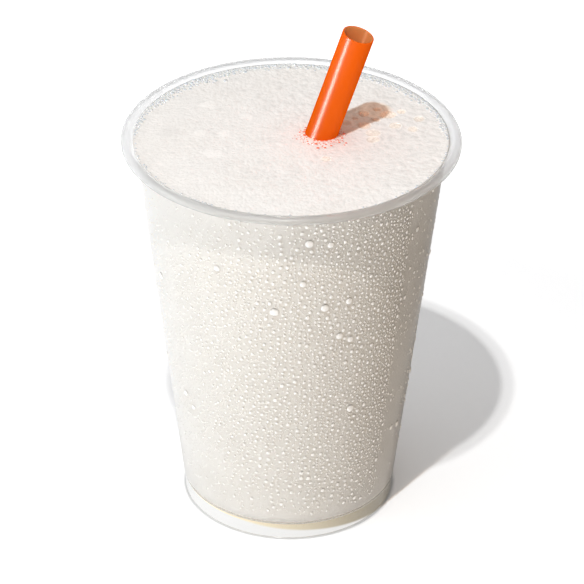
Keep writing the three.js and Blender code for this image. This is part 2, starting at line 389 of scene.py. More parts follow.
def make_orange_plastic():
    """Orange plastic that light comes through, so its inside is paler; glossy where it faces."""
    material, tree = new_material("orange_plastic")
    drawn = grain(tree, 700.0, 40.0)
    inside = put(tree, "ShaderNodeAttribute", attribute_name="straw_inside")
    outer = blend(tree, drawn.outputs["Mask"], (0.820, 0.114, 0.002, 1.0), (0.780, 0.103, 0.001, 1.0))
    colour = blend(tree, inside.outputs["Fac"], outer, (0.710, 0.265, 0.085, 1.0))
    bump = put(tree, "ShaderNodeBump", {
        "Height": drawn.outputs["Height"], "Strength": 0.08, "Distance": 0.0001,
    })
    facing = put(tree, "ShaderNodeLayerWeight", {"Blend": 0.5})
    shader = put(tree, "ShaderNodeBsdfPrincipled", {
        "Base Color": colour,
        "Roughness": ramp(tree, drawn.outputs["Mask"], 0.0, 1.0, 0.30, 0.36),
        "Specular IOR Level": 0.0,
        "Coat Weight": ramp(tree, facing.outputs["Facing"], 0.35, 0.65, 0.2, 0.0),
        "Coat Roughness": 0.25,
        "Normal": bump.outputs[0],
    })
    surface(tree, clear_to_light(tree, shader.outputs[0], (0.58, 0.42, 0.33, 1.0)))
    return material


def make_bubble_skin():
    """Clear bubbles over the froth, whose inside shows the colour of what lies behind them."""
    material, tree = new_material("bubble_skin")
    tint = put(tree, "ShaderNodeAttribute", attribute_name="bubble_tint")
    film = grain(tree, 1200.0, 300.0)
    shader = put(tree, "ShaderNodeBsdfPrincipled", {
        "Base Color": tint.outputs["Color"],
        "Roughness": ramp(tree, film.outputs["Mask"], 0.0, 1.0, 0.08, 0.16),
        "Subsurface Weight": 0.3,
        "Subsurface Radius": (1.0, 0.8, 0.6),
        "Subsurface Scale": 0.0005,
        "Coat Weight": 0.6,
        "Coat Roughness": 0.05,
    })
    surface(tree, shader.outputs[0])
    return material


def make_clear_bubble():
    """The wide flat bubbles, which the froth shows through."""
    material, tree = new_material("clear_bubble")
    film = grain(tree, 1200.0, 300.0)
    shader = put(tree, "ShaderNodeBsdfPrincipled", {
        "Base Color": (0.97, 0.95, 0.93, 1.0),
        "Roughness": ramp(tree, film.outputs["Mask"], 0.0, 1.0, 0.0, 0.04),
        "IOR": 1.25,
        "Transmission Weight": 1.0,
    })
    surface(tree, clear_to_light(tree, shader.outputs[0], (0.93, 0.90, 0.87, 1.0)))
    return material


def make_water():
    """Water beads over milk: they take its colour, and gather the light on their lower side."""
    material, tree = new_material("water_beads")
    swirl = grain(tree, 900.0, 200.0)
    lit = put(tree, "ShaderNodeAttribute", attribute_name="bead_lit")
    upper = blend(tree, swirl.outputs["Mask"], (0.96, 0.928, 0.872, 1.0), (0.94, 0.908, 0.852, 1.0))
    skin = put(tree, "ShaderNodeBsdfPrincipled", {
        "Base Color": blend(tree, lit.outputs["Fac"], upper, (1.0, 0.985, 0.96, 1.0)),
        "Roughness": ramp(tree, swirl.outputs["Mask"], 0.0, 1.0, 0.20, 0.30),
        "IOR": 1.33,
    })
    surface(tree, clear_to_light(tree, skin.outputs[0], (0.80, 0.72, 0.63, 1.0)))
    return material


CLEAR_PLASTIC = make_clear_plastic()
SHAKE = make_shake()
ORANGE_PLASTIC = make_orange_plastic()
BUBBLE_SKIN = make_bubble_skin()
CLEAR_BUBBLE = make_clear_bubble()
WATER = make_water()


# Cup


def inside_flare(inset):
    """Where the inside of the wall flares out to the rim: its start, bend and end."""
    skew = inset * math.sqrt(0.5)
    start = (WALL_TOP_RADIUS - WALL_THICKNESS - inset, WALL_TOP_HEIGHT)
    end = (RIM_INNER_RADIUS - skew, RIM_INNER_HEIGHT + skew)
    bend = (start[0] + 0.25, end[1] - 1.15)
    return start, bend, end


def floor_corner(inset):
    """The rounded corner between the cup's floor and the inside of its wall."""
    low = FLOOR_TOP + inset
    out = wall_radius(low) - WALL_THICKNESS - inset
    high = low + CORNER_ROUNDING
    end = (wall_radius(high) - WALL_THICKNESS - inset, high)
    return (out - CORNER_ROUNDING, low), (out, low), end


def cup_outline():
    """The cup's section, from the middle of its underside, up the outside and down the inside."""
    foot_inside = FOOT_RADIUS - FOOT_THICKNESS
    start, bend, end = inside_flare(0.0)
    skew = WALL_THICKNESS * math.sqrt(0.5)
    underside = CUP_HEIGHT - WALL_THICKNESS
    lip_inside = RIM_RADIUS - WALL_THICKNESS
    outline = [
        (0.0, FLOOR_HEIGHT),
        (foot_inside - 0.8, FLOOR_HEIGHT),
    ]
    outline += curve(outline[-1], (foot_inside, FLOOR_HEIGHT), (foot_inside - 0.05, FLOOR_HEIGHT - 0.8), 4)
    outline += [(foot_inside - FOOT_EDGE, FOOT_EDGE)]
    outline += curve(outline[-1], (foot_inside - FOOT_EDGE, 0.0), (foot_inside + 0.1, 0.0), 3)
    outline += [(FOOT_RADIUS - 2 * FOOT_EDGE, 0.0)]
    outline += curve(outline[-1], (FOOT_RADIUS, 0.0), (FOOT_RADIUS, 4 * FOOT_EDGE))
    outline += [(wall_radius(FLOOR_HEIGHT) - FOOT_EDGE, FLOOR_HEIGHT)]
    outline += [(WALL_FOOT_RADIUS, WALL_FOOT_HEIGHT)]
    steps = 12
    for i in range(1, steps + 1):
        height = WALL_FOOT_HEIGHT + (WALL_TOP_HEIGHT - WALL_FOOT_HEIGHT) * i / steps
        outline.append((wall_radius(height), height))
    flare_bend = (bend[0] + WALL_THICKNESS, bend[1] - skew)
    outline += curve(outline[-1], flare_bend, (end[0] + skew, end[1] - skew))
    crest_end = (RIM_CREST_RADIUS + skew, underside - 0.1)
    outline += curve(outline[-1], (RIM_CREST_RADIUS - skew, underside), crest_end)
    outline += curve(outline[-1], (lip_inside - 0.1, underside - 0.1), (lip_inside, LIP_HEIGHT))
    outline += [(RIM_RADIUS - 0.1, LIP_HEIGHT), (RIM_RADIUS, LIP_WIDEST_HEIGHT)]
    outline += curve(outline[-1], (RIM_RADIUS - 0.3, CUP_HEIGHT - 0.3), (RIM_CREST_RADIUS, CUP_HEIGHT))
    outline += curve(outline[-1], (RIM_CREST_RADIUS - 0.6, CUP_HEIGHT - 0.1), end)
    outline += curve(outline[-1], bend, start)
    for i in range(1, steps):
        height = WALL_TOP_HEIGHT - (WALL_TOP_HEIGHT - FLOOR_TOP - CORNER_ROUNDING) * i / steps
        outline.append((wall_radius(height) - WALL_THICKNESS, height))
    inner, corner, outer = floor_corner(0.0)
    outline += [outer]
    outline += curve(outer, corner, inner, 6)
    outline += [(0.0, FLOOR_TOP)]
    return outline


def make_cup():
    points, faces = lathe(cup_outline(), CUP_SEGMENTS)
    return new_piece("clear_cup", points, faces, CLEAR_PLASTIC, sharp=50)


# Froth: its height and tint are worked out on a fine raster, then read at the mesh's points


def raster_axes():
    count = int(2 * RASTER_REACH / RASTER_STEP) + 1
    return np.linspace(-RASTER_REACH, RASTER_REACH, count)


AXIS = raster_axes()


class Froth:
    """Rasters of the froth's height above its level and of its tint."""

    def __init__(self):
        self.x, self.y = np.meshgrid(AXIS, AXIS)
        self.height = np.zeros_like(self.x)
        self.tint = np.ones(self.x.shape + (3,))

    def window(self, x, y, reach):
        """The part of the raster round a place."""
        low = [int(max(0, (v - reach + RASTER_REACH) / RASTER_STEP)) for v in (y, x)]
        high = [int(max(0, (v + reach + RASTER_REACH) / RASTER_STEP)) + 2 for v in (y, x)]
        return slice(low[0], high[0]), slice(low[1], high[1])

    def off(self, part, x, y, radius, stretch=1.0, turn=0.0):
        """Distance from a place as a share of radius, over a part of the raster."""
        dx = self.x[part] - x
        dy = self.y[part] - y
        along = dx * math.cos(turn) + dy * math.sin(turn)
        across = dy * math.cos(turn) - dx * math.sin(turn)
        return np.hypot(along / stretch, across * stretch) / radius

    def dome(self, x, y, radius, rise, shade, stretch=1.0, turn=0.0):
        part = self.window(x, y, radius * 1.4)
        off = self.off(part, x, y, radius, stretch, turn)
        self.height[part] = np.maximum(self.height[part], rise * radius * (1 - off ** 2))
        inside = np.clip((1 - off) / 0.5, 0, 1)
        self.tint[part] *= 1 - (1 - shade) * inside[..., None]

    def cell(self, x, y, radius, depth, tint, stretch=1.0, turn=0.0):
        """A wide flat bubble: a shallow pan with a thin raised edge."""
        part = self.window(x, y, radius * 1.7)
        off = self.off(part, x, y, radius, stretch, turn)
        inside = np.clip((1 - off) / 0.25, 0, 1)
        edge = np.exp(-((off - 1.0) / (0.14 / radius)) ** 2)
        pan = -depth * (1 - np.clip(off, 0, 1) ** 2)
        self.height[part] = self.height[part] * (1 - inside) + pan * inside + 0.09 * edge
        for k in range(3):
            self.tint[part + (k,)] *= 1 - inside * (1 - tint[k])
        self.tint[part] += 0.10 * edge[..., None]

    def patch(self, x, y, radius, rng):
        """A flat smooth island of denser foam with an uneven outline."""
        part = self.window(x, y, radius * 1.8)
        dx = self.x[part] - x
        dy = self.y[part] - y
        angle = np.arctan2(dy, dx)
        reach = radius * np.ones_like(dx)
        for wave in (2, 3, 5):
            reach += radius * 0.13 * rng.uniform(0.4, 1) * np.cos(wave * angle + rng.uniform(0, 6.28))
        off = np.hypot(dx, dy) / reach
        inside = np.clip((1.1 - off) / 0.35, 0, 1)
        top = 0.24 - 0.06 * off + 0.3 * self.height[part]
        self.height[part] = self.height[part] * (1 - inside) + top * inside
        self.tint[part] += (1.05 - self.tint[part]) * 0.9 * inside[..., None]

    def read(self, raster, x, y):
        """A raster's values at given places."""
        u = np.clip((x + RASTER_REACH) / RASTER_STEP, 0, len(AXIS) - 1.001)
        v = np.clip((y + RASTER_REACH) / RASTER_STEP, 0, len(AXIS) - 1.001)
        i = u.astype(int)
        j = v.astype(int)
        fu = u - i
        fv = v - j
        if raster.ndim == 3:
            fu = fu[:, None]
            fv = fv[:, None]
        low = raster[j, i] * (1 - fu) + raster[j, i + 1] * fu
        high = raster[j + 1, i] * (1 - fu) + raster[j + 1, i + 1] * fu
        return low * (1 - fv) + high * fv


WHITE_PATCHES = [(-24, 20, 2.4), (-13, 13, 2.1), (-26, 3, 1.9), (-19, 3, 2.0), (-22, -9, 2.7)]
BROWN_CELLS = [(21, 8, 2.2), (28, 14.5, 2.6), (21, 15, 1.8), (16, 9.5, 1.6), (24.5, 11.5, 1.3),
               (18.5, 12, 1.1), (32, 16.5, 1.4), (25, 17.5, 1.2), (13.5, 7, 1.0)]
BEIGE_CELLS = [(23.5, 3.5, 2.2), (23.5, -0.3, 2.0), (30, 8, 1.9), (35, 6, 1.6), (37, 12, 1.7),
               (10, -12, 1.6)]
# The brown tint of the cells in the straw's shadow is partly painted shadow and partly the clearer bubbles'
# own colour.
BROWN = (1.0, 0.93, 0.87)
BEIGE = (0.97, 0.935, 0.90)
# How much of red, green and blue is taken away: by the straw's glow, in its shadow (whose far
# end is given in millimetres) and in the belt along the back of the wall
GLOW_TINT = (0.0, 0.10, 0.11)
SHADOW_END = (24.0, 17.0)
SHADOW_TINT = (0.01, 0.16, 0.29)
BELT_TINT = (0.11, 0.08, 0.07)
FROTH_REACH = 45.0
SMALL_BUBBLES = 15000
BROAD_TINTS = 420
LARGE_BUBBLES = 2600


def random_spot(rng, radius):
    """A place on a disc, with the same chance everywhere."""
    reach = radius * math.sqrt(rng.random())
    angle = rng.uniform(0, 2 * math.pi)
    return reach * math.cos(angle), reach * math.sin(angle)


def make_froth():
    """Small and large bubbles, broad uneven tints, wide cells, patches and the straw's shadow."""
    froth = Froth()
    rng = random.Random(5)
    for _ in range(SMALL_BUBBLES):
        x, y = random_spot(rng, FROTH_REACH + 0.4)
        radius = rng.uniform(0.36, 0.62)
        froth.dome(x, y, radius, 0.26, rng.uniform(0.968, 1.016))
    for _ in range(BROAD_TINTS):
        x, y = random_spot(rng, FROTH_REACH)
        froth.dome(x, y, rng.uniform(1.5, 4.5), 0.0, rng.uniform(0.978, 1.014), rng.uniform(0.7, 1.4))
    for _ in range(LARGE_BUBBLES):
        x, y = random_spot(rng, FROTH_REACH)
        side = (x + y * 0.4) / 90 + 0.5
        if rng.random() > 0.25 + 0.9 * side:
            continue
        radius = 0.6 + 0.8 * rng.random() ** 2 * (0.35 + side)
        shade = rng.uniform(0.95, 1.0)
        froth.dome(x, y, radius, 0.22, shade, rng.uniform(0.85, 1.15), rng.uniform(0, 3.1))
    for x, y, radius in BEIGE_CELLS:
        froth.cell(x, y, radius, 0.1, BEIGE, rng.uniform(0.9, 1.1), rng.uniform(0, 3.1))
    for x, y, radius in BROWN_CELLS:
        froth.cell(x, y, radius, 0.25, BROWN, rng.uniform(0.9, 1.1), rng.uniform(0, 3.1))
    for x, y, radius in WHITE_PATCHES:
        froth.patch(x, y, radius, rng)

    from_straw = np.hypot(froth.x - STRAW_CROSSING.x, froth.y - STRAW_CROSSING.y) - STRAW_RADIUS
    glow = np.exp(-np.clip(from_straw, 0, None) / 5.5)
    froth.tint *= 1 - glow[..., None] * np.array(GLOW_TINT)
    froth.height += 0.5 * np.exp(-np.clip(from_straw, 0, None) / 0.8)

    reach = np.array([SHADOW_END[0] - STRAW_CROSSING.x, SHADOW_END[1] - STRAW_CROSSING.y])
    dx = froth.x - STRAW_CROSSING.x
    dy = froth.y - STRAW_CROSSING.y
    along = np.clip((dx * reach[0] + dy * reach[1]) / reach.dot(reach), 0, 1)
    from_shadow = np.hypot(dx - along * reach[0], dy - along * reach[1])
    shaded = np.clip((STRAW_RADIUS + 0.9 - from_shadow) / 1.2, 0, 1)
    froth.tint *= 1 - shaded[..., None] * np.array(SHADOW_TINT)

    froth.height += 0.12 * np.sin(froth.x / 7 + 1) * np.cos(froth.y / 8)
    from_wall = np.clip(RIM_INNER_RADIUS - np.hypot(froth.x, froth.y), 0, None)
    near_wall = np.exp(-from_wall / FROTH_CLIMB_WIDTH)
    froth.height = froth.height * (1 - 0.8 * np.exp(-from_wall / 0.5)) + FROTH_CLIMB * near_wall
    back = np.clip(froth.y / RIM_INNER_RADIUS, 0, 1) ** 0.5
    belt = back * np.clip((3.4 * back - from_wall) / 1.0, 0, 1)
    froth.tint *= 1 - belt[..., None] * np.array(BELT_TINT)
    # Painted shade: a thin dark line along the froth's edge at the front and right of the wall.
    front = np.clip(0.5 + (0.4 * froth.x - 0.7 * froth.y) / RIM_INNER_RADIUS, 0, 1)
    froth.tint *= 1 - (0.45 * front * np.exp(-(from_wall / 0.4) ** 2))[..., None]
    return froth


def disc_grid(cells, radius):
    """A square grid laid over a disc, with the square's rings turned into circles."""
    side = np.linspace(-1, 1, cells + 1)
    u, v = np.meshgrid(side, side)
    across = np.abs(u) >= np.abs(v)
    reach = np.where(across, u, v)
    share = np.divide(
        np.where(across, v, u), reach, out=np.zeros_like(u), where=np.abs(reach) > 1e-9,
    )
    angle = np.where(across, share * math.pi / 4, math.pi / 2 - share * math.pi / 4)
    return radius * reach * np.cos(angle), radius * reach * np.sin(angle)


def edge_loop(cells):
    """The indices round a grid's edge, anticlockwise."""
    width = cells + 1
    last = cells * width
    bottom = list(range(0, width - 1))
    right = [width - 1 + i * width for i in range(cells)]
    top = [last + cells - i for i in range(cells)]
    left = [last - i * width for i in range(cells)]
    return bottom + right + top + left


def side_outline():
    """The milkshake's side from the froth's edge down to its floor, just inside the wall."""
    start, bend, end = inside_flare(-INTO_WALL)
    outline = curve(end, bend, start, 4)
    inner, corner, outer = floor_corner(-INTO_WALL)
    for i in range(1, SIDE_RINGS - 6):
        height = WALL_TOP_HEIGHT + (outer[1] - WALL_TOP_HEIGHT) * i / (SIDE_RINGS - 6)
        outline.append((wall_radius(height) - WALL_THICKNESS + INTO_WALL, height))
    outline += [outer]
    outline += curve(outer, corner, inner, 5)
    return outline


def set_values(piece, name, values):
    """A number for each point, for a material to read."""
    layer = piece.data.attributes.new(name, "FLOAT", "POINT")
    layer.data.foreach_set("value", values)


def set_colours(piece, name, colours):
    """A colour for each point, for a material to read."""
    layer = piece.data.attributes.new(name, "FLOAT_COLOR", "POINT")
    layer.data.foreach_set("color", colours.ravel())


def make_milkshake(froth):
    """The drink with its froth: a grid over the top, joined to rings down the side."""
    top_radius = inside_flare(-INTO_WALL)[2][0]
    x, y = disc_grid(FROTH_CELLS, top_radius)
    x = x.ravel()
    y = y.ravel()
    lift = froth.read(froth.height, x, y)
    top = np.stack([x, y, FROTH_LEVEL + lift], 1)
    tint = np.clip(froth.read(froth.tint, x, y), 0, 1.06)
    width = FROTH_CELLS + 1
    faces = []
    for j in range(FROTH_CELLS):
        for i in range(FROTH_CELLS):
            a = j * width + i
            faces.append((a, a + 1, a + width + 1, a + width))
    loop = edge_loop(FROTH_CELLS)
    points = [top]
    count = len(top)
    spread = top[loop][:, :2] / top_radius
    above = loop
    for radius, height in side_outline():
        ring = np.column_stack([spread * radius, np.full(len(loop), height)])
        points.append(ring)
        below = list(range(count, count + len(loop)))
        count += len(loop)
        for i in range(len(loop)):
            j = (i + 1) % len(loop)
            faces.append((above[i], below[i], below[j], above[j]))
        above = below
    points.append(np.array([[0.0, 0.0, side_outline()[-1][1]]]))
    for i in range(len(loop)):
        faces.append((above[i], count, above[(i + 1) % len(loop)]))
    points = np.concatenate(points)
    piece = new_piece("shake", points, faces, SHAKE)

    colours = np.ones((len(points), 4))
    colours[:len(top), :3] = tint
    set_colours(piece, "froth_tint", colours)
    mask = np.zeros(len(points))
    mask[:len(top)] = 1.0
    set_values(piece, "froth", mask)
    return piece


# Straw


def straw_axis():
    return Vector((
        math.sin(STRAW_LEAN) * math.cos(STRAW_HEADING),
        math.sin(STRAW_LEAN) * math.sin(STRAW_HEADING),
        math.cos(STRAW_LEAN),
    ))


def straw_foot():
    height = FLOOR_TOP + STRAW_FOOT_CLEARANCE + STRAW_RADIUS * math.sin(STRAW_LEAN)
    sunk = (STRAW_CROSSING.z - height) / math.cos(STRAW_LEAN)
    return STRAW_CROSSING - straw_axis() * sunk


def make_straw():
    foot = straw_foot()
    length = (STRAW_CROSSING - foot).length + STRAW_ABOVE_FROTH
    inside = STRAW_RADIUS - STRAW_THICKNESS
    middle = STRAW_RADIUS - STRAW_THICKNESS / 2
    edge = 0.15
    outline = [(middle, 0.0)]
    outline += curve(outline[-1], (STRAW_RADIUS, 0.0), (STRAW_RADIUS, edge), 4)
    outline += [(STRAW_RADIUS, length * i / 8) for i in range(1, 8)]
    outline += [(STRAW_RADIUS, length - edge)]
    outline += curve(outline[-1], (STRAW_RADIUS, length), (middle, length), 4)
    outline += curve(outline[-1], (inside, length), (inside, length - edge), 4)
    outline += [(inside, length * i / 8) for i in range(7, 0, -1)]
    outline += [(inside, edge)]
    outline += curve(outline[-1], (inside, 0.0), (middle, 0.0), 4)
    points, faces = lathe(outline, STRAW_SEGMENTS)
    points = np.asarray(points)
    turn = Vector((0, 0, 1)).rotation_difference(straw_axis()).to_matrix()
    moved = points @ np.array(turn).T + np.array(foot)
    straw = new_piece("orange_straw", moved, faces, ORANGE_PLASTIC, sharp=60)
    from_axis = np.hypot(points[:, 0], points[:, 1])
    set_values(straw, "straw_inside", np.where(from_axis < middle - 0.1, 1.0, 0.0))
    return straw


# Small domes: bubbles and water beads, many to a mesh


def dome_template(rings, sides, rise, root):
    """A low dome of unit radius on the plane z = 0, with a short root below it."""
    points = []
    for k in range(rings):
        t = math.pi / 2 * (1 - k / rings)
        for i in range(sides):
            angle = 2 * math.pi * i / sides
            points.append((math.sin(t) * math.cos(angle), math.sin(t) * math.sin(angle), rise * math.cos(t)))
    points.append((0.0, 0.0, rise))
    for i in range(sides):
        angle = 2 * math.pi * i / sides
        points.append((0.96 * math.cos(angle), 0.96 * math.sin(angle), -root))
    points.append((0.0, 0.0, -root))
    crown = rings * sides
    base = crown + 1
    faces = []
    for i in range(sides):
        j = (i + 1) % sides
        for k in range(rings - 1):
            faces.append((k * sides + i, k * sides + j, (k + 1) * sides + j, (k + 1) * sides + i))
        faces.append(((rings - 1) * sides + i, (rings - 1) * sides + j, crown))
        faces.append((base + i, base + j, j, i))
        faces.append((base + j, base + i, base + sides))
    return np.array(points), faces


def many(template, frames):
    """Copies of a template mesh, each under its own 3 by 4 frame."""
    points, faces = template
    placed = [points @ f[:, :3].T + f[:, 3] for f in frames]
    copies = []
    for n in range(len(frames)):
        shift = n * len(points)
        copies += [tuple(c + shift for c in face) for face in faces]
    return np.concatenate(placed), copies


def wall_frame(angle, height, radius, rise=1.0, sag=1.0):
    """Where a bead lies on the outside of the wall: across, up the wall and out of it."""
    cosine = 1 / math.hypot(1, WALL_SLOPE)
    sine = WALL_SLOPE * cosine
    out = np.array([math.cos(angle) * cosine, math.sin(angle) * cosine, -sine])
    across = np.array([-math.sin(angle), math.cos(angle), 0.0])
    up = np.cross(out, across)
    reach = wall_radius(height)
    place = np.array([reach * math.cos(angle), reach * math.sin(angle), height])
    return np.column_stack([across * radius, up * radius * sag, out * radius * rise, place])


def turn_on_wall(angle):
    """Degrees from the front towards the right, between -180 and 180."""
    return (math.degrees(angle + math.pi / 2) + 180) % 360 - 180


def dew_share(angle, height):
    """How much of the full number of beads lies at a place on the wall."""
    turn = turn_on_wall(angle)
    side = 0.22 if abs(turn) > 100 else 1.0
    if -100 < turn < -15:
        side = max(0.03, (turn + 80) / 65)
    if 52 < turn < 100:
        side = 0.03
    if -95 < turn < 0:
        side *= min(1.0, max(0.15, (112 - height) / 16))
    low = min(1.0, max(0.0, (height - 12) / 36))
    return side * (0.12 + 0.88 * low)


def dew_size(angle):
    """The beads' size against those in the middle: finer towards the left."""
    turn = turn_on_wall(angle)
    return 1.0 - 0.4 * min(1.0, max(0.0, (-10 - turn) / 45)) * (turn > -110)


def seeded_numbers(seed):
    """Numbers from 0 to 1 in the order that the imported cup's beads were placed by."""
    state = seed
    while True:
        state = (state * 1664525 + 1013904223) % 4294967296
        yield state / 4294967296


def wall_place(angle, height):
    reach = wall_radius(height)
    return reach * math.cos(angle), reach * math.sin(angle), height


def drop_spots():
    """Angle, height and radius of the largest drops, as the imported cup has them."""
    spots = []
    for turn, height, radius in FRONT_DROPS:
        spots.append((math.radians(turn - 90), height, radius))
    numbers = seeded_numbers(11)
    while len(spots) < DROP_COUNT:
        height = DROP_LOWEST + (DROP_HIGHEST - DROP_LOWEST) * next(numbers)
        turn = FRONT_TURN + (360 - 2 * FRONT_TURN) * next(numbers)
        radius = DROP_RADIUS[0] + (DROP_RADIUS[1] - DROP_RADIUS[0]) * next(numbers) ** 2
        angle = math.radians(turn - 90)
        place = wall_place(angle, height)
        if all(math.dist(place, wall_place(a, h)) > 3 * DROP_RADIUS[1] for a, h, _ in spots):
            spots.append((angle, height, radius))
    return spots


def make_dew():
    """The beads in four sizes, the largest first, so that the smaller ones find room between."""
    rng = random.Random(11)
    cells = {}
    streaks = [math.radians(rng.uniform(12, 50) - 90) for _ in range(STREAK_COUNT)]

    def free(place, radius):
        key = tuple(int(math.floor(c / 3.0)) for c in place)
        for dx in (-1, 0, 1):
            for dy in (-1, 0, 1):
                for dz in (-1, 0, 1):
                    for other, reach in cells.get((key[0] + dx, key[1] + dy, key[2] + dz), ()):
                        if math.dist(place, other) < radius + reach:
                            return False
        cells.setdefault(key, []).append((place, radius))
        return True

    def scatter(count, low, high, power, room):
        frames = []
        for _ in range(count * 30):
            height = DEW_LOWEST + (DEW_HIGHEST - DEW_LOWEST) * rng.random()
            angle = rng.uniform(-math.pi, math.pi)
            if rng.random() < STREAK_SHARE:
                angle = rng.choice(streaks) + rng.gauss(0, STREAK_WANDER)
            if rng.random() > dew_share(angle, height):
                continue
            radius = (low + (high - low) * rng.random() ** power) * dew_size(angle)
            if not free(wall_place(angle, height), radius * room):
                continue
            frames.append(wall_frame(angle, height, radius, rng.uniform(0.85, 1.1), rng.uniform(1.0, 1.15)))
            if len(frames) == count:
                break
        return frames

    drops = []
    for angle, height, radius in drop_spots():
        free(wall_place(angle, height), radius * 1.1)
        drops.append(wall_frame(angle, height, radius, 1.0, rng.uniform(1.0, 1.1)))
    beads = scatter(BEAD_COUNT, *BEAD_RADIUS, 1.8, 1.5)
    fine = scatter(FINE_COUNT, *FINE_RADIUS, 1.3, 1.3)
    mist = scatter(MIST_COUNT, *MIST_RADIUS, 1.3, 1.1)
    pieces = []
    for name, frames, rings, sides in (
        ("dew_drops", drops, 7, 24),
        ("dew_beads", beads, 3, 8),
        ("dew_fine", fine, 2, 7),
        ("dew_mist", mist, 2, 6),
    ):
        template = dome_template(rings, sides, DEW_RISE, DEW_ROOT)
        points, faces = many(template, frames)
        piece = new_piece(name, points, faces, WATER)
        below = -0.94 * template[0][:, 1] - 0.34 * template[0][:, 0]
        lit = np.clip((below - 0.1) / 0.6, 0, 1)
        set_values(piece, "bead_lit", np.tile(lit, len(frames)))
        gather_light(piece, frames)
        pieces.append(piece)
    return pieces


def gather_light(piece, frames):
    """Turn the normals of each bead upside down, as light from above comes out of it below."""
    mesh = piece.data
    own = np.empty(len(mesh.vertices) * 3)
    mesh.vertex_normals.foreach_get("vector", own)
    own = own.reshape(len(frames), -1, 3)
    up = np.array([f[:, 1] / np.linalg.norm(f[:, 1]) for f in frames])[:, None, :]
    turned = own - up * (own * up).sum(2, keepdims=True) * (1 + DEW_GATHER)
    turned /= np.linalg.norm(turned, axis=2, keepdims=True)
    mesh.normals_split_custom_set_from_vertices(turned.reshape(-1, 3).tolist())


def place_bubbles(name, spots, froth, sides, rings, rise, material, tints=None):
    """Bubbles that stand on the froth; tints gives the colours of the foot and the crown."""
    template = dome_template(rings, sides, rise, 0.35)
    frames = []
    for x, y, radius in spots:
        lift = float(froth.read(froth.height, np.array([x]), np.array([y]))[0])
        place = np.array([x, y, FROTH_LEVEL + min(lift, 0.35)])
        frames.append(np.column_stack([np.eye(3) * radius, place]))
    points, faces = many(template, frames)
    piece = new_piece(name, points, faces, material)
    if tints is not None:
        foot, crown = (np.array(t) for t in tints)
        share = np.clip(template[0][:, 2] / rise, 0, 1)[:, None]
        share = np.clip((share - 0.35) / 0.4, 0, 1)
        one = np.column_stack([foot * (1 - share) + crown * share, np.ones(len(share))])
        set_colours(piece, "bubble_tint", np.tile(one, (len(spots), 1)))
    return piece


WALL_BUBBLE_COUNT = 750
STRAW_COLLAR_COUNT = 17
STRAW_BUBBLE_COUNT = 110


def wall_bubble_spots():
    """The ring of clear bubbles between the froth and the wall, widest at the back."""
    rng = random.Random(8)
    spots = []
    for _ in range(9000):
        angle = rng.uniform(0, 2 * math.pi)
        back = max(0.0, math.sin(angle)) ** 0.6
        lumps = 0.6 + 0.4 * math.sin(angle * 9 + 1) * math.sin(angle * 4)
        depth = abs(rng.gauss(0, 0.3 + 1.6 * back * lumps))
        radius = 0.26 + 0.5 * rng.random() ** 2 * (0.4 + 0.6 * back)
        if rng.random() > back + 0.02:
            continue
        reach = RIM_INNER_RADIUS - 0.05 - radius * 0.8 - depth
        x = reach * math.cos(angle)
        y = reach * math.sin(angle)
        if all((x - a) ** 2 + (y - b) ** 2 > (0.95 * (radius + r)) ** 2 for a, b, r in spots):
            spots.append((x, y, radius))
        if len(spots) >= WALL_BUBBLE_COUNT:
            break
    return spots


def straw_bubble_spots():
    """Small bubbles against the straw, most of them in front and on the left."""
    rng = random.Random(3)
    spots = []
    for i in range(STRAW_COLLAR_COUNT):
        angle = math.radians(-200 + 14 * i + rng.uniform(-4, 4))
        reach = STRAW_RADIUS + 0.05
        x = STRAW_CROSSING.x + reach * math.cos(angle) / math.cos(STRAW_LEAN)
        y = STRAW_CROSSING.y + reach * math.sin(angle)
        spots.append((x, y, rng.uniform(0.4, 0.8)))
    for _ in range(4000):
        angle = rng.uniform(0, 2 * math.pi)
        front = 0.5 - 0.5 * math.sin(angle)
        depth = abs(rng.gauss(0, 0.35 + 1.0 * front))
        radius = 0.18 + 0.5 * rng.random() ** 2
        reach = STRAW_RADIUS + 0.1 + depth
        x = STRAW_CROSSING.x + reach * math.cos(angle) / math.cos(STRAW_LEAN)
        y = STRAW_CROSSING.y + reach * math.sin(angle)
        if all((x - a) ** 2 + (y - b) ** 2 > (1.1 * (radius + r)) ** 2 for a, b, r in spots):
            spots.append((x, y, radius))
        if len(spots) >= STRAW_BUBBLE_COUNT:
            break
    return spots


# Stage


def mirrored(tree):
    """1 where the floor or the room is seen as a reflection in the object, else 0."""
    path = put(tree, "ShaderNodeLightPath")
    first = put(tree, "ShaderNodeMath", {0: path.outputs["Ray Depth"], 1: 1.5}, operation="LESS_THAN")
    sharp = put(tree, "ShaderNodeMath", {
        0: path.outputs["Is Reflection Ray"], 1: path.outputs["Is Glossy Ray"],
    }, operation="MULTIPLY")
    both = put(tree, "ShaderNodeMath", {0: first.outputs[0], 1: sharp.outputs[0]}, operation="MULTIPLY")
    return both.outputs[0]


